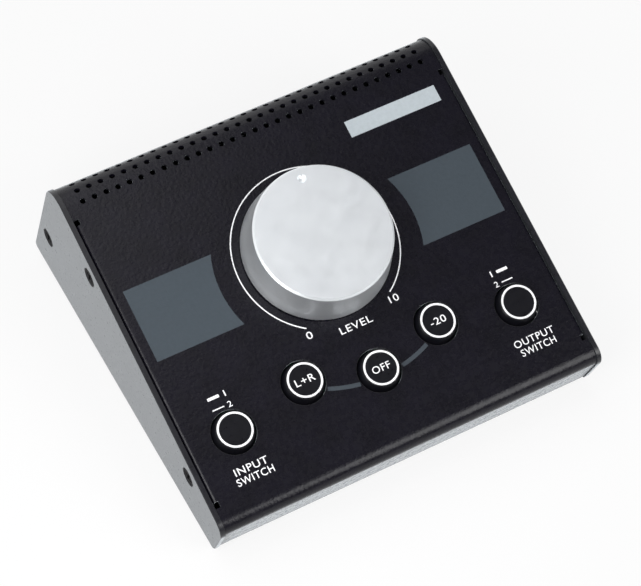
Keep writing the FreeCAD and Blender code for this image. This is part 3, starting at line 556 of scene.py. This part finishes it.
def thread_jacks():
    """Thread crests on the end of each jack's bush, beyond its nut."""
    profile = []
    for index in range(THREAD_TURNS):
        start = NUT_FACE + THREAD_START + index * THREAD_PITCH
        profile += [(start + THREAD_PITCH * share, radius) for share, radius in THREAD_PROFILE]
    angles = [math.tau * index / THREAD_STEPS for index in range(THREAD_STEPS)]
    faces = []
    for row in range(0, (len(profile) - 1) * THREAD_STEPS, THREAD_STEPS):
        for index in range(THREAD_STEPS):
            a, b = row + index, row + (index + 1) % THREAD_STEPS
            faces.append((a, b, b + THREAD_STEPS, a + THREAD_STEPS))
    for node in JACKS:
        low, high = panel_box(node)
        axis_x, axis_z = (low.x + high.x) / 2, (low.z + high.z) / 2
        vertices = [(axis_x + radius * math.cos(angle), y, axis_z + radius * math.sin(angle))
                    for y, radius in profile for angle in angles]
        thread = mesh_piece(f"{node}_thread", vertices, faces, SLOT_MATERIALS["jack_plastic"])


print_dial()
print_blocks()
print_links()
print_buttons()
print_switch_marks()
print_labels()
print_strip()
thread_jacks()


# ---------------------------------------------------------------- camera, floor and light

def direction(azimuth, elevation):
    """Away from the object, in degrees round from the front and up from the desk."""
    azimuth, elevation = math.radians(azimuth), math.radians(elevation)
    return Vector((math.sin(azimuth) * math.cos(elevation), -math.cos(azimuth) * math.cos(elevation),
                   math.sin(elevation)))


def make_camera():
    camera = new_object("camera", bpy.data.cameras.new("camera"))
    camera.data.lens = LENS
    camera.data.sensor_width = SENSOR
    camera.data.clip_start, camera.data.clip_end = CAMERA_CLIP
    back = direction(CAMERA_AZIMUTH, CAMERA_ELEVATION)
    roll = Matrix.Rotation(math.radians(CAMERA_ROLL), 4, "Z").to_quaternion()
    camera.rotation_mode = "QUATERNION"
    camera.rotation_quaternion = (-back).to_track_quat("-Z", "Y") @ roll
    camera.location = PANEL @ Vector(CAMERA_AIM) + back * CAMERA_DISTANCE * MM
    bpy.context.scene.camera = camera


def make_world():
    """White to the camera; to gloss, a white backdrop low behind the object under a dim ceiling."""
    world = bpy.data.worlds.new("room")
    bpy.context.scene.world = world
    tree = Tree(world)
    tree.nodes.clear()
    path = tree.node("ShaderNodeLightPath").outputs
    way = tree.node("ShaderNodeTexCoord").outputs["Generated"]
    part = tree.node("ShaderNodeSeparateXYZ", way).outputs
    backdrop = tree.maths("MULTIPLY", tree.fade(part["Y"], *BACKDROP_BACK),
                          tree.fade(part["Z"], *BACKDROP_TOP))
    shiny = tree.maths("MAXIMUM", path["Is Glossy Ray"], path["Is Transmission Ray"])
    seen = tree.maths("MAXIMUM", path["Is Camera Ray"], tree.maths("MULTIPLY", shiny, backdrop))
    room = tree.node("ShaderNodeBackground", Color=ROOM)
    white = tree.node("ShaderNodeBackground", Color=WHITE)
    mix = tree.node("ShaderNodeMixShader", seen, room.outputs[0], white.outputs[0])
    tree.node("ShaderNodeOutputWorld", mix.outputs[0])


def make_floor():
    """A wide pale floor: backdrop white to camera and gloss, with a soft share of its real shading."""
    half = FLOOR_HALF
    mesh = bpy.data.meshes.new("floor")
    mesh.from_pydata([(-half, -half, 0), (half, -half, 0), (half, half, 0), (-half, half, 0)], [],
                     [(0, 1, 2, 3)])
    floor = new_object("floor", mesh)
    material = bpy.data.materials.new("floor_white")
    mesh.materials.append(material)
    tree = Tree(material)
    tree.nodes.clear()
    path = tree.node("ShaderNodeLightPath").outputs
    shiny = tree.maths("MAXIMUM", path["Is Glossy Ray"], path["Is Transmission Ray"])
    seen = tree.maths("MAXIMUM", path["Is Camera Ray"], shiny)
    place = tree.node("ShaderNodeTexCoord").outputs["Object"]
    away = tree.node("ShaderNodeVectorMath", place, operation="LENGTH").outputs["Value"]
    bright = tree.fade(away, SHADOW_NEAR, SHADOW_FAR, low=1.0 - SHADOW_SHARE)
    lit = tree.node("ShaderNodeBsdfDiffuse", Color=FLOOR_PAINT)
    white = tree.node("ShaderNodeEmission", Color=WHITE)
    mix = tree.node("ShaderNodeMixShader", tree.maths("MULTIPLY", seen, bright), lit.outputs[0],
                    white.outputs[0])
    tree.node("ShaderNodeOutputMaterial", mix.outputs[0])


def add_softbox(name, azimuth, elevation, distance, sides, power, level):
    """An area light that is level and shines straight down, or is aimed at the object."""
    light = bpy.data.lights.new(name, "AREA")
    light.shape = "RECTANGLE"
    light.size, light.size_y = sides
    light.energy = power
    lamp = new_object(name, light)
    back = direction(azimuth, elevation)
    lamp.location = PANEL_CENTRE + back * distance
    if not level:
        lamp.rotation_mode = "QUATERNION"
        lamp.rotation_quaternion = (-back).to_track_quat("-Z", "Y")


make_camera()
make_world()
make_floor()
for softbox in LIGHTS:
    add_softbox(*softbox)
bpy.context.scene.view_settings.view_transform = "Standard"
